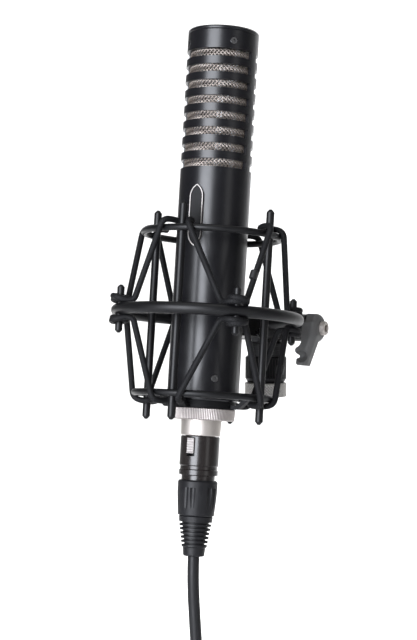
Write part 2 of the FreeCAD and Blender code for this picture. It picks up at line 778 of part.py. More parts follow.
def magnet_yoke():
    """Iron frame round the magnets that carries the whole motor."""
    near = pole_face() + POLE_W + MAGNET_W
    far = near + YOKE_T
    half = RIBBON_L / 2 + CLAMP_H + 1
    depth = (-MAGNET_D / 2 - 0.8, MAGNET_D / 2 + 0.8)
    frame = motor_block((-far, far), depth, half + YOKE_T)
    window = motor_block((-near, near), (-MAGNET_D, MAGNET_D), half)
    frame = frame.cut(window)
    hole = rod(2.0, MOTOR_Z - half - 10, MOTOR_Z + half + 10)
    return frame.cut(hole)


def ribbon():
    """Corrugated aluminium ribbon between the poles."""
    steps = int(RIBBON_L / RIBBON_FOLD)
    low = MOTOR_Z - RIBBON_L / 2 - CLAMP_H * 0.4
    pitch = (RIBBON_L + CLAMP_H * 0.8) / steps
    front = []
    back = []
    for step in range(steps + 1):
        sway = RIBBON_FOLD / 2 * (1 if step % 2 else -1)
        height = low + pitch * step
        front.append(Vector(-RIBBON_W / 2, sway - RIBBON_T / 2, height))
        back.append(Vector(-RIBBON_W / 2, sway + RIBBON_T / 2, height))
    return prism(front + back[::-1], Vector(RIBBON_W, 0, 0))


def ribbon_clamps():
    """Insulated clamps, a front and a back jaw at each end of the ribbon."""
    jaws = []
    half_w = pole_face() + POLE_W + MAGNET_W - 0.1
    for sign in (-1, 1):
        near = MOTOR_Z + sign * (RIBBON_L / 2 + 0.1)
        far = MOTOR_Z + sign * (RIBBON_L / 2 + CLAMP_H)
        height = (min(near, far), max(near, far))
        seat = RIBBON_FOLD / 2 + RIBBON_T / 2 + 0.01
        for depth in ((-MAGNET_D / 2, -seat), (seat, MAGNET_D / 2)):
            jaws.append(block((-half_w, half_w), depth, height))
    return jaws


def motor_end(sign):
    """Outer face of the yoke's upper or lower bar."""
    return MOTOR_Z + sign * (RIBBON_L / 2 + CLAMP_H + 1 + YOKE_T)


def motor_mounts():
    """Rubber pads that hold the motor between its two carriers."""
    pads = []
    for low, high in ((motor_end(-1) - PAD_T, motor_end(-1)), (motor_end(1), BODY_TOP - 1)):
        pads.append(rod(6.0, low, high))
    return pads


def motor_carrier():
    """Disc across the tube under the motor."""
    top = motor_end(-1) - PAD_T
    disc = rod(BODY_R - WALL - 0.02, top - 2.5, top)
    wire_hole = rod(2.0, top - 4, top + 1, 10.0, 0.0)
    return disc.cut(wire_hole)


def transformer_core():
    """Laminated core with its two windows."""
    width, depth, height = CORE_SIZE
    low = TRANSFORMER_Z - height / 2
    core = block((-width / 2, width / 2), (-depth / 2 + 4, depth / 2 - 4), (low, low + height))
    window_w = COIL_SIZE[0] + 0.2
    window = block((-window_w / 2, window_w / 2), (-depth, depth),
                   (TRANSFORMER_Z - COIL_SIZE[2] / 2 - 0.1, TRANSFORMER_Z + COIL_SIZE[2] / 2 + 0.1))
    limb = block((-3.5, 3.5), (-depth / 2 + 4, depth / 2 - 4), (low, low + height))
    return core.cut(window).fuse(limb).removeSplitter()


def transformer_coil():
    width, depth, height = COIL_SIZE
    low = TRANSFORMER_Z - height / 2
    coil = block((-width / 2, width / 2), (-depth / 2, depth / 2), (low, low + height))
    upright = [edge for edge in coil.Edges if abs(edge.tangentAt(0).z) > 0.9]
    coil = coil.makeFillet(3.0, upright)
    core_depth = CORE_SIZE[1] / 2 - 4 + 0.1
    return coil.cut(block((-3.6, 3.6), (-core_depth, core_depth), (low - 1, low + height + 1)))


def transformer_cup():
    """Mild-steel cup that screens the transformer and stands on the base plug."""
    low = TRANSFORMER_Z - CORE_SIZE[2] / 2 - 2.0
    high = TRANSFORMER_Z + CORE_SIZE[2] / 2 + 1.0
    cup = tube(16.4, 15.4, low, high).fuse(rod(16.4, low - 1.2, low + 0.01))
    legs = tube(16.4, 14.6, BODY_BOTTOM + 16.05, low - 1.0)
    for angle in (0, 90):
        slot = block((-20, 20), (-8, 8), (BODY_BOTTOM + 19, low - 4))
        legs = legs.cut(turn_about_z(slot, angle))
    floor_hole = rod(2.0, low - 4, low + 1, 10.0, 0.0)
    return cup.fuse(legs).cut(floor_hole).removeSplitter()


def signal_wires():
    """Insulated leads from the motor to the transformer."""
    wires = []
    top = motor_end(-1) - 1.0
    low = TRANSFORMER_Z + CORE_SIZE[2] / 2 + 1.5
    for offset in (-WIRE_R, WIRE_R):
        points = [Vector(10.0 + offset, 0, top), Vector(10.0 + offset, 0, top - 12)]
        points += [Vector(9.0 + offset, 3.0, (top + low) / 2), Vector(7.5 + offset, 0.5, low)]
        wires.append(swept(route_wire(points, [8.0, 12.0]), WIRE_R * 0.9))
    return wires


# ---------------------------------------------------------------- cable connector
def plug_shell():
    """Metal shell with its nose and the latch window."""
    bottom = PLUG_TOP - PLUG_BODY
    inner = PLUG_R - 1.5
    nose_top = PLUG_TOP + PLUG_NOSE
    outline = [(7.1, nose_top), (NOSE_R, nose_top), (NOSE_R, PLUG_TOP), (PLUG_R - 0.4, PLUG_TOP)]
    outline += [(PLUG_R, PLUG_TOP - 0.4), (PLUG_R, PLUG_TOP - 15.4), (PLUG_R - 0.5, PLUG_TOP - 15.9)]
    outline += [(PLUG_R - 0.5, PLUG_TOP - 17.5), (PLUG_R, PLUG_TOP - 18.0), (PLUG_R, PLUG_TOP - 20.4)]
    outline += [(8.9, PLUG_TOP - 20.9), (8.9, bottom), (inner - 0.6, bottom), (inner - 0.6, PLUG_TOP - 3)]
    outline += [(7.1, PLUG_TOP - 3)]
    shell = turned(outline)
    half = LATCH_W / 2 + 0.4
    window = block((-half, half), (-PLUG_R - 1, -5), (LATCH_TOP - LATCH_H - 1.6, LATCH_TOP + 0.5))
    return shell.cut(window)


def latch_button():
    """Ribbed release button."""
    half = LATCH_W / 2
    low = LATCH_TOP - LATCH_H
    button = block((-half, half), (-PLUG_R - 0.7, -PLUG_R + 2.0), (low, LATCH_TOP))
    grooves = []
    count = 6
    pitch = LATCH_H / count
    for index in range(count):
        height = low + pitch * (index + 0.5)
        groove = cross_rod(0.42, -half - 1, half + 1, -PLUG_R - 0.75, height)
        grooves.append(groove)
    return button.cut(grooves)


def latch_spring():
    """Flat spring behind the button."""
    half = LATCH_W / 2 - 0.4
    low = LATCH_TOP - LATCH_H
    face = -PLUG_R + 2.0 + LATCH_TRAVEL
    return block((-half, half), (face + 0.25, face + 0.65), (low, LATCH_TOP))


def contact_holes(radius, high, low):
    return [rod(radius, low, high, place.x, place.y) for place in pin_places()]


def plug_insert():
    """Insulator that carries the three contacts."""
    high = PLUG_TOP + PLUG_NOSE - 0.4
    low = PLUG_TOP - 12.0
    upper = rod(7.0, PLUG_TOP - 1.2, high)
    lower = rod(6.0, low, PLUG_TOP - 1.0)
    return upper.fuse(lower).cut(contact_holes(1.9, high + 1, low - 1)).removeSplitter()


def plug_contacts():
    """Three sockets with solder cups."""
    high = PLUG_TOP + PLUG_NOSE - 0.6
    low = PLUG_TOP - 15.0
    bores = contact_holes(PIN_R + 0.08, high + 1, PLUG_TOP + 0.5)
    cups = contact_holes(1.1, low + 3.0, low - 1)
    posts = contact_holes(1.85, high, low)
    return [post.cut([bore, cup]) for post, bore, cup in zip(posts, bores, cups)]


def boot_outline(top):
    """Bushing outline of either connector, from its top downwards."""
    end = top - BOOT_L
    outline = [(7.0, top), (BOOT_R - 0.8, top), (BOOT_R, top - 0.8), (BOOT_R, top - 6.5)]
    outline += [(BOOT_R - 0.4, top - 12.0), (BOOT_R - 0.9, end + 0.4), (BOOT_R - 1.3, end)]
    outline += [(6.2, end), (6.2, top - 2), (7.0, top - 2)]
    return outline


def fluted(boot, low, high):
    """Finger flutes round a bushing, in pairs."""
    pairs = 5
    flutes = []
    for pair in range(pairs):
        for side in (-1, 1):
            angle = 360 / pairs * pair - 14 + side * FLUTE_SPREAD
            place = on_circle(BOOT_R + FLUTE_R - FLUTE_DEPTH, angle)
            flutes.append(rod(FLUTE_R, low, high, place.x, place.y))
    return boot.cut(flutes)


def plug_boot():
    top = PLUG_TOP - PLUG_BODY - 0.05
    return fluted(turned(boot_outline(top)), top - 14.6, top - 3.8)


def relief_outline(top):
    """Ribbed strain relief, tapering downwards onto the cable."""
    inner = CABLE_R
    ribs = 6
    neck = 3.2
    collar = 5.0
    groove = 1.4
    first_r = RELIEF_TOP_R - 0.5
    last_r = RELIEF_END_R + 1.1
    pitch = (RELIEF_L - neck - collar) / ribs
    outline = [(inner, top), (RELIEF_TOP_R - 0.5, top), (RELIEF_TOP_R, top - 0.5)]
    outline.append((RELIEF_TOP_R - 0.2, top - neck))
    for rib in range(ribs):
        radius = first_r + (last_r - first_r) * rib / (ribs - 1)
        height = top - neck - pitch * rib
        outline += [(radius - groove, height - pitch * 0.1), (radius - groove, height - pitch * 0.4)]
        outline += [(radius, height - pitch * 0.5), (radius, height - pitch)]
    end = top - RELIEF_L
    outline += [(RELIEF_END_R + 0.3, end + collar - 0.5), (RELIEF_END_R, end + 0.6)]
    outline += [(RELIEF_END_R - 0.6, end), (inner, end)]
    return outline


def relief_top():
    return PLUG_TOP - PLUG_BODY - BOOT_L - 0.1


def strain_relief():
    top = relief_top()
    core = tube(6.1, CABLE_R, top - 0.01, top + 9.0)
    return turned(relief_outline(top)).fuse(core).removeSplitter()


# ---------------------------------------------------------------- cable
def cable_route():
    """Cable's route: out of the strain relief along the microphone's axis, then straight down."""
    end = relief_top() - RELIEF_L
    start = tilted_point(Vector(0, 0, end + 6.0))
    first = tilted_point(Vector(0, 0, end - CABLE_RUNS[0] + 6.0))
    points = [start, first]
    for run, sway in zip(CABLE_RUNS[1:], CABLE_SWAY):
        last = points[-1]
        points.append(Vector(last.x + sway[0], last.y + sway[1], last.z - run))
    return points


def coil_centre():
    """The last point of the hanging cable is the outermost point of the coil's middle turn."""
    last = cable_route()[-1]
    return Vector(last.x - COIL_R, last.y, last.z)


def cable():
    points = cable_route()
    return swept(route_wire(points, widest_radii(points)), CABLE_R)


def print_cable_facts():
    points = cable_route()
    radii = widest_radii(points)
    length = route_wire(points, radii).Length
    print("cable route", [tuple(round(value, 1) for value in point) for point in points])
    print("cable bend radii", [round(radius, 1) for radius in radii])
    print("cable volume share", round(cable().Volume / (math.pi * CABLE_R ** 2 * length), 4))
    print("coil centre", coil_centre(), "tail", tail_top(), tail_end())


def cable_coil():
    """Outer shape of the tied coil, in the plane across Y, with the cable's free tail."""
    coil = Part.makeTorus(COIL_R, COIL_SECTION_R, coil_centre(), Y_AXIS)
    top = tail_top()
    tail = rod(CABLE_R, tail_end().z, top.z, top.x, top.y)
    return coil.fuse(tail).cut(cable()).removeSplitter()


def coil_tie():
    """Hook-and-loop band round the coil's top."""
    centre = coil_centre() + Vector(0, 0, COIL_R)
    left = centre.x - TIE_W / 2
    band = cross_rod(COIL_SECTION_R + TIE_T, left, left + TIE_W, centre.y, centre.z)
    hollow = Part.makeTorus(COIL_R, COIL_SECTION_R + 0.02, coil_centre(), Y_AXIS)
    return band.cut(hollow)


def tail_top():
    centre = coil_centre()
    return Vector(centre.x + COIL_R, centre.y, centre.z - COIL_SECTION_R * 1.6)


def tail_end():
    top = tail_top()
    return Vector(top.x, top.y, coil_centre().z - TAIL_L)


def far_frame(shape):
    """Carry a far-end piece, drawn with the cable's end at the origin and +Z up, to the tail."""
    copy = shape.copy()
    copy.translate(tail_end())
    return copy


def far_boot():
    """Boot of the far connector: ribs that taper up the cable, above a fluted grip."""
    ribs = 6
    pitch = 2.6
    low_r = 8.2
    outline = [(CABLE_R, FAR_GRIP), (RELIEF_END_R, FAR_GRIP), (RELIEF_END_R + 0.3, FAR_GRIP - 2.0)]
    for rib in range(ribs):
        radius = RELIEF_END_R + 0.4 + (low_r - RELIEF_END_R) * rib / ribs
        height = FAR_GRIP - 2.4 - pitch * rib
        outline += [(radius - 0.8, height), (radius - 0.8, height - 0.8), (radius, height - 1.0)]
        outline.append((radius, height - pitch + 0.2))
    shoulder = FAR_GRIP - 2.4 - pitch * ribs
    low = -FAR_BOOT_L
    outline += [(8.8, shoulder), (BOOT_R, shoulder - 1.0), (BOOT_R, low + 2.0), (9.3, low)]
    outline += [(6.2, low), (6.2, shoulder - 1.0), (CABLE_R, -1.0)]
    return far_frame(fluted(turned(outline), low + 3.0, shoulder - 3.0))


def far_shell_top():
    return -FAR_BOOT_L - 0.05


def far_shell():
    """Open-mouthed shell of the far connector."""
    top = far_shell_top()
    mouth = top - 33.0
    outline = [(6.6, top), (8.9, top), (8.9, top - 2.4), (9.6, top - 3.0), (9.6, mouth + 0.5)]
    outline += [(9.1, mouth), (8.2, mouth), (8.2, mouth + 14.0), (6.6, mouth + 14.0)]
    return far_frame(turned(outline))


def far_insert():
    mouth = far_shell_top() - 33.0
    insert = rod(8.15, mouth + 10.0, mouth + 13.9).fuse(rod(6.5, mouth + 13.0, mouth + 22.0))
    pins = [rod(PIN_R, mouth + 5, mouth + 25, place.x, place.y) for place in pin_places()]
    return far_frame(insert.removeSplitter().cut(pins))


def far_pins():
    mouth = far_shell_top() - 33.0
    pins = []
    for place in pin_places():
        pin = rod(PIN_R, mouth + PIN_RECESS, mouth + 24.0, place.x, place.y)
        pins.append(far_frame(pin.makeChamfer(0.5, [pin.Edges[0], pin.Edges[2]])))
    return pins


# ---------------------------------------------------------------- assembly
def level_nodes():
    """Pieces that stand upright with the stand, or that hang straight down."""
    return {
        "thread_adapter": thread_adapter(),
        "ribbed_collar": ribbed_collar(),
        "swivel_post": swivel_post(),
        "pan_clip": pan_clip(),
        "cable": cable(),
        "cable_coil": cable_coil(),
        "coil_tie": coil_tie(),
        "far_boot": far_boot(),
        "far_shell": far_shell(),
        "far_insert": far_insert(),
        "far_pins": far_pins(),
    }


def tilting_nodes():
    """Pieces drawn in the cradle frame."""
    nodes = {
        "friction_washers": friction_washers(),
        "ring_bracket": ring_bracket(),
        "bracket_screws": bracket_screws(),
        "pivot_bolt": pivot_bolt(),
        "pivot_nut": pivot_nut(),
        "clamp_lever": clamp_lever(),
        "lever_screw": lever_screw(),
        "outer_ring": outer_ring(),
        "ring_posts": ring_posts(),
        "cradle_upper_ring": cradle_ring(CRADLE_Z),
        "cradle_lower_ring": cradle_ring(-CRADLE_Z),
        "cradle_base": cradle_base(),
        "elastic_upper": elastic(1),
        "elastic_lower": elastic(-1),
        "elastic_crimps": elastic_crimps(),
        "housing_tube": housing_tube(),
        "top_cap": top_cap(),
        "cap_screws": radial_screws(CAP_SCREW_Z, BODY_R - 0.1, quarter_angles()),
        "base_plug": base_plug(),
        "base_screws": radial_screws(BASE_SCREW_Z, BODY_R - 0.1, quarter_angles()),
        "screen_mesh": screen_mesh(),
        "badge_rim": badge_rim(),
        "badge_field": badge_field(),
        "neck_shell": neck_shell(),
        "outlet_insert": outlet_insert(),
        "outlet_pins": outlet_pins(),
        "ring_nut": ring_nut(),
        "pole_pieces": pole_pieces(),
        "magnets": magnets(),
        "magnet_yoke": magnet_yoke(),
        "ribbon": ribbon(),
        "ribbon_clamps": ribbon_clamps(),
        "motor_mounts": motor_mounts(),
        "motor_carrier": motor_carrier(),
        "transformer_core": transformer_core(),
        "transformer_coil": transformer_coil(),
        "transformer_cup": transformer_cup(),
        "signal_wires": signal_wires(),
        "plug_shell": plug_shell(),
        "latch_button": latch_button(),
        "latch_spring": latch_spring(),
        "plug_insert": plug_insert(),
        "plug_contacts": plug_contacts(),
        "plug_boot": plug_boot(),
        "strain_relief": strain_relief(),
    }
    for quarter, name in enumerate(("front", "right", "back", "left")):
        nodes["rod_" + name] = cradle_rod(quarter)
    return nodes


def as_list(shapes):
    return shapes if isinstance(shapes, list) else [shapes]


def export(name, shapes):
    """Write one node; a group of separate solids is written as one compound."""
    solids = []
    for shape in shapes:
        solids += shape.Solids
    for solid in solids:
        if not solid.isValid() or solid.Volume <= 0:
            print("BAD SOLID", name)
    shape = solids[0] if len(solids) == 1 else Part.makeCompound(solids)
    shape.exportStep("parts/" + name + ".step")
    print(name, len(solids), round(shape.Volume, 1))


def main():
    os.makedirs("parts", exist_ok=True)
    print_cable_facts()
    for name, shapes in level_nodes().items():
        export(name, as_list(shapes))
    for name, shapes in tilting_nodes().items():
        export(name, [tilted(shape) for shape in as_list(shapes)])


main()
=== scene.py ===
"""Looks of the shock-mounted studio microphone: finishes, elastics, cable, light and camera.

Lengths of the object are millimetres, turned into metres by mm() and point(); the floor and the
lamps are in metres.  Pieces of the tilting part are placed in the cradle frame: origin at the
centre of the outer ring, +Z along the microphone.
"""

import math

import bpy
from mathutils import Matrix, Vector


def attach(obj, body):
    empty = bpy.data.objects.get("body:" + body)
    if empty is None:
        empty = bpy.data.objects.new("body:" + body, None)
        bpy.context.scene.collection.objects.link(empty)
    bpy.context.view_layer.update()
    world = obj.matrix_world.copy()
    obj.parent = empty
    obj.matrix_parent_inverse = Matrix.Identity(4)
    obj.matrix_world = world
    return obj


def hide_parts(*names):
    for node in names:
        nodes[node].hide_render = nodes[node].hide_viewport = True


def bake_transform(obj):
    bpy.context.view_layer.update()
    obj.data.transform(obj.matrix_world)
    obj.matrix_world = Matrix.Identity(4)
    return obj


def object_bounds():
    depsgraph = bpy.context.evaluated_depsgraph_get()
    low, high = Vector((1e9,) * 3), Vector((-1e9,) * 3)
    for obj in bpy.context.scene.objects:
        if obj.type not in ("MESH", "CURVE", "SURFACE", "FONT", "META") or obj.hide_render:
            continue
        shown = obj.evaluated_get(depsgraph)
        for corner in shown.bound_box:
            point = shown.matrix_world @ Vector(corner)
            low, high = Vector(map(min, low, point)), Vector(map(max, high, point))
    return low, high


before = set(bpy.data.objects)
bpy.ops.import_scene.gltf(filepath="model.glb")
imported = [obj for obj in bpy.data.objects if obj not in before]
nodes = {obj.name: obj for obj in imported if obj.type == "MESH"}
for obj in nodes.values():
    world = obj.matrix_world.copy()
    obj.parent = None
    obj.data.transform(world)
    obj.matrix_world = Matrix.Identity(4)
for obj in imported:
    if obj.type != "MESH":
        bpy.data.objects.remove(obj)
bounds_at_load = [list(corner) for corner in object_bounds()]

# ---------------------------------------------------------------- driving dimensions
MM_PER_M = 1000.0
LEAN = math.radians(6.1)
PIVOT_Z = 39.6
REACH = 73.0

RING_R = 48.2
RING_WIRE_R = 3.1
CRADLE_R = 36.2
CRADLE_Z = 42.65
CRADLE_WIRE_R = 1.8
ROD_R = 2.1
ROD_CIRCLE = 33.7
ELASTIC_R = 1.65
ELASTIC_FOOT = 6.2
ELASTIC_INSET = 5.5
# one and a half turns round a post: (along the ring, away from the microphone, up)
POST_TURN = [(-ELASTIC_FOOT, -ELASTIC_INSET, -1.2), (-4.2, 3.4, 0.1), (3.4, 3.2, 0.1),
             (3.4, -3.6, 0.8), (-3.6, -3.6, 1.5), (-3.4, 3.5, 2.0), (4.4, 4.4, 1.2),
             (ELASTIC_FOOT, -ELASTIC_INSET, -1.2)]

SCREEN_R = 17.05
SCREEN_SPAN = (73.6, 140.0)
WIRE_PITCH = 1.45
WIRE_R = 0.31
WIRE_SIDES = 5
FLANGE_H = 8.1
COLLAR_TOP = 23.1
KNURL_EDGE = 0.7             # plain rim above and below the foot's knurl
RIBS_LOW = FLANGE_H + 2.6
RIBS_HIGH = COLLAR_TOP - 1.2
RIB_COUNT = 44

CABLE_R = 3.15
COIL_R = 36.0
COIL_GAP = 0.15
COIL_STEPS = 14
CABLE_ROUTE = [(0.0, -85.5, -73.1), (0.0, -87.2, -89.0), (1.8, -86.8, -117.0),
               (4.0, -85.6, -153.0), (3.4, -84.7, -189.0)]
TAIL_END_Z = -245.0


# ---------------------------------------------------------------- helpers
def mm(value):
    return value / MM_PER_M


def point(x, y, z):
    """Millimetres in the object's frame, as metres."""
    return Vector((mm(x), mm(y), mm(z)))


def cradle_matrix():
    """From the cradle frame to the object's frame."""
    return (Matrix.Translation(point(0, 0, PIVOT_Z)) @ Matrix.Rotation(-LEAN, 4, "X")
            @ Matrix.Translation(point(0, -REACH, 0)))


CRADLE = cradle_matrix()


def cradle_point(x, y, z):
    """Millimetres in the cradle frame, as metres in the object's frame."""
    return CRADLE @ point(x, y, z)


def turned_xy(x, y, degrees):
    angle = math.radians(degrees)
    return (x * math.cos(angle) - y * math.sin(angle), x * math.sin(angle) + y * math.cos(angle))


def add_object(name, data):
    piece = bpy.data.objects.new(name, data)
    bpy.context.scene.collection.objects.link(piece)
    return piece


def smooth_shading(mesh):
    mesh.polygons.foreach_set("use_smooth", [True] * len(mesh.polygons))


def closed_line(route):
    """Points along the smooth closed line that the route's points control."""
    curve = bpy.data.curves.new("line", "CURVE")
    curve.dimensions = "3D"
    spline = curve.splines.new("NURBS")
    spline.points.add(len(route) - 1)
    for control, place in zip(spline.points, route):
        control.co = (*place, 1.0)
    spline.order_u = 3
    spline.use_cyclic_u = True
    spline.resolution_u = 8
    carrier = bpy.data.objects.new("line", curve)
    mesh = bpy.data.meshes.new_from_object(carrier)
    points = [vertex.co.copy() for vertex in mesh.vertices]
    bpy.data.meshes.remove(mesh)
    bpy.data.objects.remove(carrier)
    bpy.data.curves.remove(curve)
    return points


def tube_mesh(name, points, radius, sides=12):
    """Closed tube along a closed route; its UV runs in metres along and turns around."""
    count = len(points)
    tangents = [(points[(i + 1) % count] - points[i - 1]).normalized() for i in range(count)]
    normal = tangents[0].orthogonal().normalized()
    vertices = []
    lengths = [0.0]
    for index in range(count):
        tangent = tangents[index]
        normal = (normal - tangent * normal.dot(tangent)).normalized()
        side = tangent.cross(normal)
        for turn in range(sides):
            angle = 2 * math.pi * turn / sides
            offset = (normal * math.cos(angle) + side * math.sin(angle)) * radius
            vertices.append(points[index] + offset)
        lengths.append(lengths[-1] + (points[(index + 1) % count] - points[index]).length)
    first_normal = tangents[0].orthogonal().normalized()
    last_angle = math.atan2(first_normal.cross(normal).dot(tangents[0]), first_normal.dot(normal))
    shift = round(-last_angle / (2 * math.pi) * sides)
    faces = []
    uvs = []
    for index in range(count):
        following = (index + 1) % count
        slip = shift if following == 0 else 0
        for turn in range(sides):
            ahead = (turn + 1) % sides
            faces.append((index * sides + turn, index * sides + ahead,
                          following * sides + (ahead - slip) % sides,
                          following * sides + (turn - slip) % sides))
            here, there = lengths[index], lengths[index + 1]
            low, high = turn / sides, (turn + 1) / sides
            uvs += [(here, low), (here, high), (there, high), (there, low)]
    mesh = bpy.data.meshes.new(name)
    mesh.from_pydata(vertices, [], faces)
    layer = mesh.uv_layers.new(name="run")
    for loop, uv in zip(layer.data, uvs):
        loop.uv = uv
    smooth_shading(mesh)
    mesh.update()
    return mesh


# ---------------------------------------------------------------- node material helpers
class Shade:
    """A Principled material and the few node shapes that its patterns are made of."""

    def __init__(self, name, color, roughness, metallic=0.0):
        self.material = bpy.data.materials.new(name)
        self.material.use_nodes = True
        self.tree = self.material.node_tree
        self.shader = self.tree.nodes["Principled BSDF"]
        self.shader.inputs["Base Color"].default_value = (*color, 1.0)
        self.shader.inputs["Roughness"].default_value = roughness
        self.shader.inputs["Metallic"].default_value = metallic
        self.height = None

    def add(self, kind, **values):
        node = self.tree.nodes.new(kind)
        for key, value in values.items():
            setattr(node, key, value)
        return node

    def link(self, output, target):
        self.tree.links.new(output, target)

    def math(self, operation, *values):
        node = self.add("ShaderNodeMath", operation=operation)
        for socket, value in zip(node.inputs, values):
            if isinstance(value, (int, float)):
                socket.default_value = value
            else:
                self.link(value, socket)
        return node.outputs[0]

    def coordinates(self, tilting):
        """Object coordinates in millimetres, square to the microphone if tilting."""
        source = self.add("ShaderNodeTexCoord").outputs["Object"]
        turn = self.add("ShaderNodeMapping", vector_type="POINT")
        turn.inputs["Scale"].default_value = (MM_PER_M, MM_PER_M, MM_PER_M)
        if tilting:
            inverse = CRADLE.inverted()
            turn.inputs["Location"].default_value = inverse.to_translation() * MM_PER_M
            turn.inputs["Rotation"].default_value = inverse.to_euler()
        self.link(source, turn.inputs["Vector"])
        return turn.outputs["Vector"]

    def around(self, tilting, x=0.0, y=0.0):
        """(angle about an upright axis, height) in radians and millimetres."""
        split = self.add("ShaderNodeSeparateXYZ")
        self.link(self.coordinates(tilting), split.inputs[0])
        across = self.math("SUBTRACT", split.outputs["X"], x)
        depth = self.math("SUBTRACT", split.outputs["Y"], y)
        return self.math("ARCTAN2", depth, across), split.outputs["Z"]

    def noise(self, scale, detail=3.0, tilting=False, squeeze=(1.0, 1.0, 1.0)):
        mapping = self.add("ShaderNodeMapping")
        mapping.inputs["Scale"].default_value = squeeze
        self.link(self.coordinates(tilting), mapping.inputs["Vector"])
        texture = self.add("ShaderNodeTexNoise")
        texture.inputs["Scale"].default_value = scale
        texture.inputs["Detail"].default_value = detail
        self.link(mapping.outputs["Vector"], texture.inputs["Vector"])
        return texture.outputs["Fac"]

    def ramp(self, value, low, high, start=0.35, end=0.65):
        """Spread a 0..1 pattern between two numbers."""
        node = self.add("ShaderNodeMapRange")
        node.inputs["From Min"].default_value = start
        node.inputs["From Max"].default_value = end
        node.inputs["To Min"].default_value = low
        node.inputs["To Max"].default_value = high
        self.link(value, node.inputs["Value"])
        return node.outputs["Result"]

    def vary_roughness(self, value, low, high):
        self.link(self.ramp(value, low, high), self.shader.inputs["Roughness"])

    def mix_color(self, value, first, second):
        node = self.add("ShaderNodeMix", data_type="RGBA")
        node.inputs["A"].default_value = (*first, 1.0)
        node.inputs["B"].default_value = (*second, 1.0)
        self.link(value, node.inputs["Factor"])
        self.link(node.outputs["Result"], self.shader.inputs["Base Color"])

    def bump(self, value, depth_mm, strength=1.0):
        """Raise the surface by a 0..1 pattern; several calls stack up."""
        node = self.add("ShaderNodeBump")
        node.inputs["Strength"].default_value = strength
        node.inputs["Distance"].default_value = mm(depth_mm)
        self.link(value, node.inputs["Height"])
        if self.height is not None:
            self.link(self.height, node.inputs["Normal"])
        self.height = node.outputs["Normal"]
        self.link(self.height, self.shader.inputs["Normal"])

    def between(self, value, low, high):
        """1 from low to high, 0 outside."""
        above = self.math("GREATER_THAN", value, low)
        return self.math("MULTIPLY", above, self.math("LESS_THAN", value, high))

    def sine(self, value, times):
        """0..1 wave of an angle or a length."""
        wave = self.math("SINE", self.math("MULTIPLY", value, times))
        return self.math("MULTIPLY_ADD", wave, 0.5, 0.5)


def dress(shade, *names):
    """Give CAD nodes one material."""
    for name in names:
        slots = nodes[name].data.materials
        slots.clear()
        slots.append(shade.material)


# ---------------------------------------------------------------- finishes
def paint(name, color, roughness, grain=1.2, depth=0.006, specular=0.42):
    """Sprayed paint with a fine orange peel and uneven gloss."""
    shade = Shade(name, color, roughness)
    shade.shader.inputs["Specular IOR Level"].default_value = specular
    shade.vary_roughness(shade.noise(0.12, 2.0), roughness - 0.015, roughness + 0.02)
    shade.bump(shade.noise(grain, 2.0), depth, 0.2)
    return shade


def turned_metal(name, color, roughness, tilting=True):
    """Plated metal with faint lathe lines round it."""
    shade = Shade(name, color, roughness, 1.0)
    lines = shade.noise(2.0, 3.0, tilting, (0.05, 0.05, 4.0))
    shade.vary_roughness(lines, roughness - 0.05, roughness + 0.07)
    shade.bump(lines, 0.01, 0.3)
    return shade


def knurled_metal(name, color, roughness, count, tilting):
    """Straight knurl round the microphone's nut, with painted shade in its grooves."""
    shade = Shade(name, color, roughness, 1.0)
    angle, _ = shade.around(tilting)
    ribs = shade.sine(angle, count)
    shade.bump(ribs, 0.2, 1.0)
    # painted shade: the knurl's grooves take 0.4 of the colour and the crests the full colour
    shade.mix_color(ribs, tuple(0.4 * part for part in color), color)
    shade.vary_roughness(shade.noise(0.5, 3.0, tilting), roughness - 0.04, roughness + 0.06)
    return shade


def diamond_knurl(name, color, roughness, count, pitch):
    """Crossed knurl on the upright foot of the swivel, with painted shade in its grooves."""
    shade = Shade(name, color, roughness, 1.0)
    angle, height = shade.around(False)
    turns = shade.math("MULTIPLY", angle, count / (2 * math.pi))
    climb = shade.math("DIVIDE", height, pitch)
    first = shade.sine(shade.math("ADD", turns, climb), 2 * math.pi)
    second = shade.sine(shade.math("SUBTRACT", turns, climb), 2 * math.pi)
    inside = shade.between(height, KNURL_EDGE, FLANGE_H - KNURL_EDGE)
    pyramids = shade.math("MULTIPLY", shade.math("MULTIPLY", first, second), inside)
    # painted shade: the knurl's grooves take half the colour and the pyramid tops the full colour;
    # the plain rims above and below the knurl, where the pattern is 0, take the half colour too
    shade.mix_color(pyramids, tuple(0.5 * part for part in color), color)
    shade.bump(pyramids, 0.4, 1.0)
    return shade


def ribbed_plastic(name):
    """Upright ribs round the grip collar."""
    shade = Shade(name, (0.003, 0.003, 0.0035), 0.45)
    shade.shader.inputs["Specular IOR Level"].default_value = 0.18
    angle, height = shade.around(False)
    inside = shade.between(height, RIBS_LOW, RIBS_HIGH)
    ribs = shade.math("POWER", shade.sine(angle, RIB_COUNT), 0.6)
    shade.bump(shade.math("MULTIPLY", ribs, inside), 0.9, 1.0)
    shade.bump(shade.noise(1.5, 2.0), 0.01, 0.3)
    return shade


def screen_wire():
    """Dull brass-grey wire."""
    shade = Shade("screen_weave", (0.34, 0.298, 0.268), 0.42, 1.0)
    shade.vary_roughness(shade.noise(1.5, 2.0, True), 0.37, 0.48)
    return shade


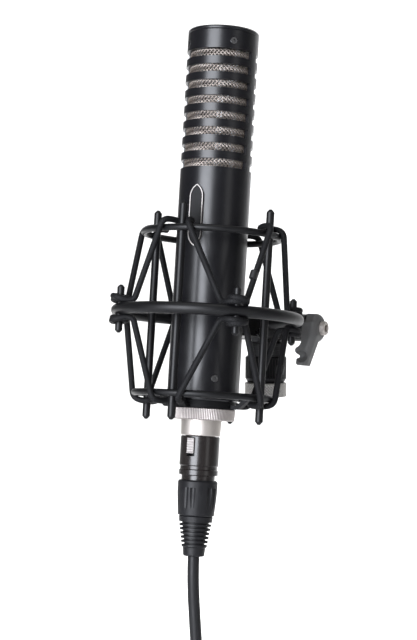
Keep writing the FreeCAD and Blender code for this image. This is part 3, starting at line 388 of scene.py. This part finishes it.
def braid():
    """Fine braided cover of the elastic; reads the tube's UV."""
    shade = Shade("elastic_braid", (0.006, 0.006, 0.0065), 0.62)
    shade.shader.inputs["Specular IOR Level"].default_value = 0.18
    uv = shade.add("ShaderNodeUVMap", uv_map="run").outputs["UV"]
    split = shade.add("ShaderNodeSeparateXYZ")
    shade.link(uv, split.inputs[0])
    along = shade.math("MULTIPLY", split.outputs["X"], MM_PER_M)
    across = shade.math("MULTIPLY", split.outputs["Y"], 6.0)
    first = shade.sine(shade.math("ADD", along, across), 2 * math.pi)
    second = shade.sine(shade.math("SUBTRACT", along, across), 2 * math.pi)
    cloth = shade.math("MULTIPLY", first, second)
    shade.mix_color(shade.ramp(cloth, 0.0, 1.0, 0.0, 0.6),
                    (0.002, 0.002, 0.0025), (0.008, 0.008, 0.009))
    shade.bump(cloth, 0.14, 0.9)
    return shade


def rubber(name, color=(0.0065, 0.0065, 0.0075), roughness=0.48):
    shade = Shade(name, color, roughness)
    shade.shader.inputs["Specular IOR Level"].default_value = 0.24
    shade.vary_roughness(shade.noise(0.2, 4.0), roughness - 0.07, roughness + 0.08)
    shade.bump(shade.noise(1.6, 3.0), 0.012, 0.3)
    return shade


def tie_band():
    """Woven black band round the coil."""
    shade = Shade("tie_band", (0.012, 0.012, 0.013), 0.8)
    split = shade.add("ShaderNodeSeparateXYZ")
    shade.link(shade.coordinates(False), split.inputs[0])
    warp = shade.sine(shade.math("ADD", split.outputs["X"], split.outputs["Z"]), 2 * math.pi)
    weft = shade.sine(shade.math("SUBTRACT", split.outputs["X"], split.outputs["Z"]), 2 * math.pi)
    cloth = shade.math("MULTIPLY", warp, weft)
    shade.mix_color(cloth, (0.008, 0.008, 0.009), (0.03, 0.03, 0.032))
    shade.bump(cloth, 0.2, 0.8)
    return shade


def grained(name, color, roughness, metallic=0.0, squeeze=(1.0, 1.0, 1.0), scale=1.2, depth=0.02):
    """Plain finish with a directional grain."""
    shade = Shade(name, color, roughness, metallic)
    grain = shade.noise(scale, 4.0, False, squeeze)
    shade.vary_roughness(grain, roughness - 0.02, roughness + 0.03)
    shade.bump(grain, depth, 0.4)
    return shade


def dress_all():
    body = paint("satin_black_body", (0.0028, 0.0028, 0.004), 0.31, depth=0.003)
    wire = paint("satin_black_wire", (0.003, 0.003, 0.0035), 0.41, specular=0.26)
    cast = paint("satin_black_cast", (0.004, 0.004, 0.0045), 0.42, 1.0, 0.012)
    strap = paint("matt_black_strap", (0.003, 0.003, 0.0035), 0.55, specular=0.15)
    nickel = turned_metal("satin_nickel", (0.49, 0.455, 0.425), 0.5)
    dark_nickel = turned_metal("dark_nickel", (0.36, 0.34, 0.325), 0.36)
    button = turned_metal("button_nickel", (0.33, 0.31, 0.30), 0.5)
    dress(body, "housing_tube", "top_cap", "base_plug")
    dress(wire, "outer_ring", "ring_posts", "cradle_upper_ring", "cradle_lower_ring",
          "rod_front", "rod_right", "rod_back", "rod_left")
    dress(cast, "ring_bracket", "swivel_post")
    dress(strap, "cradle_base")
    dress(paint("lever_grey", (0.085, 0.084, 0.082), 0.5, 1.0, 0.012), "clamp_lever")
    dress(nickel, "neck_shell", "lever_screw")
    dress(dark_nickel, "badge_rim")
    dress(button, "latch_button")
    dress(grained("black_chrome", (0.010, 0.008, 0.0075), 0.24, depth=0.003), "plug_shell",
          "far_shell")
    dress(knurled_metal("nut_knurl", (0.53, 0.485, 0.465), 0.5, 118, True), "ring_nut")
    dress(diamond_knurl("foot_knurl", (0.60, 0.58, 0.55), 0.42, 46, 1.6), "thread_adapter")
    dress(ribbed_plastic("collar_ribs"), "ribbed_collar")
    dress(rubber("boot_rubber"), "plug_boot", "strain_relief", "far_boot")
    field = grained("badge_field", (0.004, 0.004, 0.0045), 0.5, depth=0.004)
    field.shader.inputs["Specular IOR Level"].default_value = 0.2
    dress(field, "badge_field")
    dress(grained("dark_screw", (0.13, 0.13, 0.135), 0.25, 1.0, depth=0.004), "cap_screws",
          "base_screws", "bracket_screws", "pivot_bolt", "pivot_nut", "pan_clip", "latch_spring")
    dress(grained("crimp_black", (0.004, 0.004, 0.0045), 0.45), "elastic_crimps")
    dress(grained("hard_fibre", (0.09, 0.07, 0.055), 0.6), "friction_washers", "outlet_insert",
          "motor_mounts", "ribbon_clamps")
    dress(grained("insert_black", (0.012, 0.012, 0.013), 0.42), "plug_insert", "far_insert")
    dress(grained("magnet_plate", (0.62, 0.62, 0.63), 0.16, 1.0), "magnets")
    dress(grained("soft_iron", (0.34, 0.34, 0.35), 0.4, 1.0, (0.2, 0.2, 3.0)), "pole_pieces",
          "magnet_yoke", "transformer_cup", "motor_carrier")
    dress(grained("core_stack", (0.26, 0.26, 0.28), 0.45, 1.0, (0.1, 6.0, 0.1), 3.0, 0.1),
          "transformer_core")
    dress(grained("ribbon_foil", (0.88, 0.89, 0.90), 0.22, 1.0), "ribbon")
    dress(grained("coil_tape", (0.60, 0.36, 0.07), 0.45, 0.0, (0.1, 0.1, 2.0), 2.0, 0.05),
          "transformer_coil")
    dress(tie_band(), "coil_tie")
    dress(grained("wire_red", (0.42, 0.03, 0.02), 0.4), "signal_wires")
    dress(grained("gold_pins", (0.86, 0.66, 0.30), 0.22, 1.0), "outlet_pins", "plug_contacts",
          "far_pins")


# ---------------------------------------------------------------- elastics
def strand(start, end, margin=7.0):
    """Two more control points that keep the long stretch between two corners straight."""
    start, end = Vector(start), Vector(end)
    step = (end - start).normalized() * margin
    return [tuple(start + step), tuple(end - step)]


def at_post(along, outward, height, degrees):
    """Place beside a post: along the ring, away from the microphone, and up."""
    return (*turned_xy(along, -RING_R - outward, degrees), height)


def post_turn(side, degrees):
    """The elastic comes in over the ring, turns round the post and goes out again."""
    low = RING_WIRE_R + ELASTIC_R
    return [at_post(along, outward, side * (low + rise), degrees)
            for along, outward, rise in POST_TURN]


def elastic_quarter(side):
    """Control points of a quarter of an elastic: over a rod and round the next post."""
    rod_z = side * (CRADLE_Z + CRADLE_WIRE_R + ELASTIC_R)
    inside = -ROD_CIRCLE + ROD_R + ELASTIC_R
    crest = -CRADLE_R - 2.6
    wrap = ROD_R + ELASTIC_R
    left_foot = post_turn(side, -45)[-1]
    left_crest = (-8.8, crest - 0.2, rod_z + side * 0.5)
    right_crest = (5.9, crest - 0.4, rod_z - side * 1.0)
    right_turn = post_turn(side, 45)
    return [*strand(left_foot, left_crest), left_crest, (-5.8, inside - 3.2, rod_z + side * 1.0),
            (-wrap, inside + 0.6, rod_z), (wrap, inside + 0.6, rod_z),
            (4.8, inside - 4.2, rod_z + side * 0.9), right_crest,
            *strand(right_crest, right_turn[0]), *right_turn]


def elastic_route(side):
    route = []
    for quarter in range(4):
        for x, y, z in elastic_quarter(side):
            route.append(cradle_point(*turned_xy(x, y, 90 * quarter), z))
    return route


def add_elastics():
    shade = braid()
    for side, name in ((1, "elastic_upper"), (-1, "elastic_lower")):
        mesh = tube_mesh(name + "_braid", closed_line(elastic_route(side)), mm(ELASTIC_R))
        mesh.materials.append(shade.material)
        piece = add_object(name + "_braid", mesh)
        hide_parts(name)
        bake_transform(piece)


# ---------------------------------------------------------------- wind screen
def wire_path(start_angle, hand, samples):
    """Places and outward directions along a slanted wire that weaves over and under the others."""
    low, high = SCREEN_SPAN
    path = []
    for index in range(samples + 1):
        climb = (high - low) * index / samples
        angle = start_angle + hand * climb / SCREEN_R
        wave = math.cos(math.pi * (climb / WIRE_PITCH / math.sqrt(2) + (0.0 if hand > 0 else 1.0)))
        radius = SCREEN_R - 0.4 + WIRE_R * 0.9 * wave
        path.append((cradle_point(radius * math.cos(angle), radius * math.sin(angle), low + climb),
                     Vector((math.cos(angle), math.sin(angle), 0.0))))
    return path


def add_wire(path, hand, vertices, faces):
    """Put the round tube of one wire into the lists."""
    turn = CRADLE.to_3x3()
    base = len(vertices)
    for place, outward in path:
        along = Vector((-outward.y * hand, outward.x * hand, 1.0)).normalized()
        side = turn @ outward.cross(along)
        lift = turn @ outward
        for corner in range(WIRE_SIDES):
            angle = 2 * math.pi * corner / WIRE_SIDES
            offset = lift * math.cos(angle) + side * math.sin(angle)
            vertices.append(place + offset * mm(WIRE_R))
    for index in range(len(path) - 1):
        here = base + index * WIRE_SIDES
        there = here + WIRE_SIDES
        for corner in range(WIRE_SIDES):
            ahead = (corner + 1) % WIRE_SIDES
            faces.append((here + corner, here + ahead, there + ahead, there + corner))


def add_screen():
    """Woven cloth of round wires at 45 degrees, all the way round."""
    low, high = SCREEN_SPAN
    count = round(2 * math.pi * SCREEN_R / (WIRE_PITCH * math.sqrt(2)))
    samples = round((high - low) * math.sqrt(2) / WIRE_PITCH) * 2
    vertices = []
    faces = []
    for hand in (-1, 1):
        for wire in range(count):
            start = 2 * math.pi * (wire + 0.25 * hand) / count
            add_wire(wire_path(start, hand, samples), hand, vertices, faces)
    mesh = bpy.data.meshes.new("screen_wires")
    mesh.from_pydata(vertices, [], faces)
    smooth_shading(mesh)
    mesh.materials.append(screen_wire().material)
    piece = add_object("screen_wires", mesh)
    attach(piece, "microphone")
    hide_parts("screen_mesh")


# ---------------------------------------------------------------- cable
def coil_points():
    """Turns of the tied coil, in rows that fill its round section."""
    x, y, z = CABLE_ROUTE[-1]
    centre_x = x - COIL_R
    pitch = 2 * CABLE_R + COIL_GAP
    rows = [(-1, 0), (-0.5, -0.87), (0, -1.6), (0.5, -0.87), (1.4, -0.8), (1, 0),
            (1.4, 0.8), (0.5, 0.87), (0, 1.6), (-0.5, 0.87), (-1.4, 0.8), (0, 0)]
    points = []
    middle = (0, 0)
    for (depth, growth), (next_depth, next_growth) in zip(rows, rows[1:] + [middle]):
        for step in range(COIL_STEPS):
            share = step / COIL_STEPS
            ease = max(0.0, share * 5 - 4)
            across = depth + (next_depth - depth) * ease
            outward = growth + (next_growth - growth) * ease
            radius = COIL_R + outward * pitch
            angle = 2 * math.pi * share
            points.append((centre_x + radius * math.cos(angle), y + across * pitch,
                           z - radius * math.sin(angle)))
    return points


def add_cable():
    x, y, z = CABLE_ROUTE[-1]
    tail = [(x, y, z), (x + 0.3, y, z - 22.0), (x, y, z - 40.0), (x, y, TAIL_END_Z - 2.0)]
    route = CABLE_ROUTE[:-1] + coil_points() + tail
    curve = bpy.data.curves.new("cable_run", "CURVE")
    curve.dimensions = "3D"
    curve.bevel_depth = mm(CABLE_R)
    curve.bevel_resolution = 5
    curve.use_fill_caps = True
    spline = curve.splines.new("NURBS")
    spline.points.add(len(route) - 1)
    for control, place in zip(spline.points, route):
        control.co = (*point(*place), 1.0)
    spline.order_u = 3
    spline.use_endpoint_u = True
    spline.resolution_u = 8
    shade = rubber("cable_jacket", (0.008, 0.008, 0.009), 0.45)
    curve.materials.append(shade.material)
    piece = add_object("cable_run", curve)
    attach(piece, "plug")
    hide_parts("cable", "cable_coil")


# ---------------------------------------------------------------- stage
def add_stage():
    """Pale floor that rises behind the object, in metres."""
    floor_z = bounds_at_load[0][2] - 0.004
    width, near, far, rise = 6.0, -4.0, 2.0, 1.2
    steps = 16
    profile = [(near, floor_z), (far, floor_z)]
    for step in range(1, steps + 1):
        angle = math.pi / 2 * step / steps
        profile.append((far + rise * math.sin(angle), floor_z + rise * (1 - math.cos(angle))))
    profile.append((far + rise, floor_z + 5.0))
    vertices = []
    for y, z in profile:
        vertices += [(-width, y, z), (width, y, z)]
    faces = [(2 * i, 2 * i + 1, 2 * i + 3, 2 * i + 2) for i in range(len(profile) - 1)]
    mesh = bpy.data.meshes.new("floor")
    mesh.from_pydata(vertices, [], faces)
    smooth_shading(mesh)
    shade = Shade("floor_pale", (0.95, 0.95, 0.95), 0.9)
    mesh.materials.append(shade.material)
    add_object("floor", mesh)


def area_light(name, location, target, size, energy, color=(1, 1, 1)):
    """Lamp at a place, turned to a target; both and its size in metres."""
    data = bpy.data.lights.new(name, "AREA")
    data.shape = "RECTANGLE"
    data.size, data.size_y = size
    data.energy = energy
    data.color = color
    lamp = add_object(name, data)
    lamp.location = location
    lamp.rotation_euler = (Vector(target) - Vector(location)).to_track_quat("-Z", "Y").to_euler()


def add_lights():
    middle = (0.0, -0.06, 0.06)
    area_light("key_left", (-0.07, -1.30, 0.25), middle, (0.85, 1.0), 39.0, (0.90, 0.93, 1.0))
    area_light("fill_right", (1.5, -0.5, 0.35), middle, (0.5, 1.4), 2.5)
    area_light("top", (0.1, -0.3, 1.6), middle, (1.2, 1.2), 6.0)
    area_light("backdrop", (-0.8, 0.75, 1.1), (-1.1, 2.3, -0.1), (2.4, 1.0), 78.0)
    world = bpy.data.worlds.new("pale")
    world.use_nodes = True
    world.node_tree.nodes["Background"].inputs["Color"].default_value = (1, 1, 1, 1)
    world.node_tree.nodes["Background"].inputs["Strength"].default_value = 0.17
    bpy.context.scene.world = world


def add_camera():
    """Long lens, a little below the middle of the microphone and to its right."""
    data = bpy.data.cameras.new("camera")
    data.sensor_fit = "HORIZONTAL"
    data.sensor_width = 36.0
    data.lens = 147.1
    camera = add_object("camera", data)
    place = point(417.7, -875.5, 70.0)
    aim = point(-16.2, -40.2, 44.0)
    looking = (aim - place).to_track_quat("-Z", "Y").to_matrix()
    roll = Matrix.Rotation(math.radians(0.51), 3, "Z")
    camera.matrix_world = Matrix.Translation(place) @ (looking @ roll).to_4x4()
    bpy.context.scene.camera = camera


add_camera()
add_cable()
dress_all()
add_elastics()
add_screen()
add_stage()
add_lights()
bpy.context.scene.view_settings.view_transform = "Standard"
